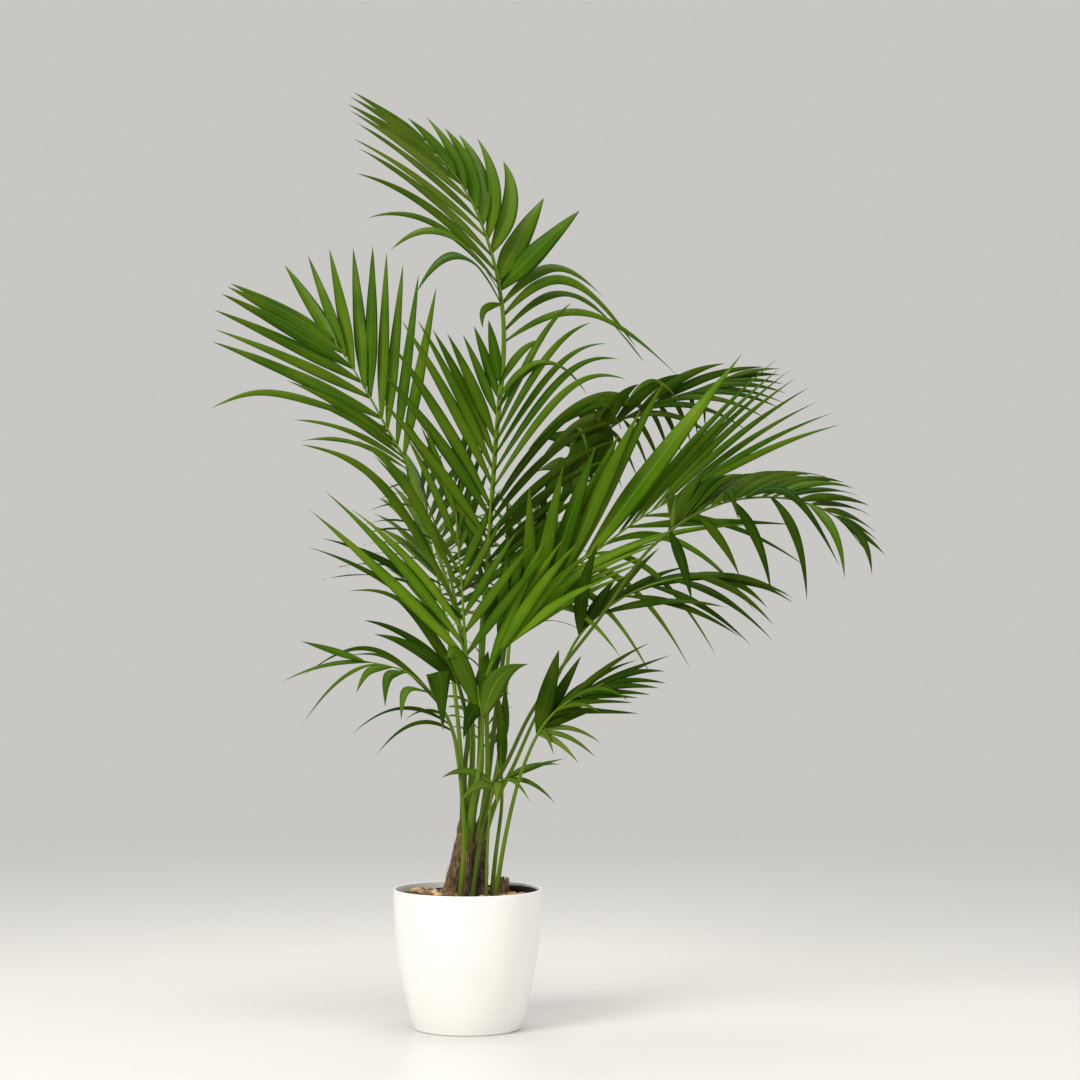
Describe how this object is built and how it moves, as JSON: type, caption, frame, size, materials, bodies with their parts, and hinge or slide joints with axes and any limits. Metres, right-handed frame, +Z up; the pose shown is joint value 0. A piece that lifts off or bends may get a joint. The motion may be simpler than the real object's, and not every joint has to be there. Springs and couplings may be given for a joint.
{
  "type": "potted kentia palm",
  "caption": "Clump of kentia palm about 1.8 m tall in a plain white round pot: short fibrous trunks, long green stalks and arching fronds of slim leaflets.",
  "frame": {"origin": "centre of the pot's flat underside", "axes": "+Z up, +Y away from the side that the picture shows, +X to its right"},
  "size_m": [1.2688, 1.0644, 1.7736],
  "materials": {
    "white_plastic": "satin",
    "black_plastic": "matte",
    "earth": "matte",
    "sheath": "matte",
    "stalk": "satin",
    "leaf_bright": "satin",
    "leaf_middle": "satin",
    "leaf_dark": "satin"
  },
  "bodies": {
    "root": {"frond_back_left": "leaf_middle", "frond_back_left_low": "leaf_dark", "frond_back_low": "leaf_dark", "frond_back_right": "leaf_middle", "frond_centre": "leaf_middle", "frond_front_left": "leaf_middle", "frond_front_low": "leaf_middle", "frond_front_small": "leaf_dark", "frond_left": "leaf_middle", "frond_left_dark": "leaf_dark", "frond_left_low": "leaf_middle", "frond_right_arch_lower": "leaf_dark", "frond_right_arch_upper": "leaf_dark", "frond_right_back_lower": "leaf_dark", "frond_right_back_upper": "leaf_dark", "frond_right_low": "leaf_dark", "frond_right_small": "leaf_dark", "frond_right_tall_lower": "leaf_middle", "frond_right_tall_upper": "leaf_middle", "frond_spear": "leaf_middle", "frond_top_lower": "leaf_middle", "frond_top_upper": "leaf_middle", "nursery_pot": "black_plastic", "pot": "white_plastic", "soil": "earth", "stem_back_left": "stalk", "stem_back_left_low": "stalk", "stem_back_low": "stalk", "stem_back_right": "stalk", "stem_centre": "stalk", "stem_front_left": "stalk", "stem_front_low": "stalk", "stem_front_small": "stalk", "stem_left": "stalk", "stem_left_dark": "stalk", "stem_left_low": "stalk", "stem_right_arch": "stalk", "stem_right_back": "stalk", "stem_right_low": "stalk", "stem_right_small": "stalk", "stem_right_tall": "stalk", "stem_spear": "stalk", "stem_top": "stalk", "trunk_back": "sheath", "trunk_left": "sheath", "trunk_middle": "sheath", "trunk_right": "sheath", "trunk_stub": "sheath"}
  },
  "joints": []
}
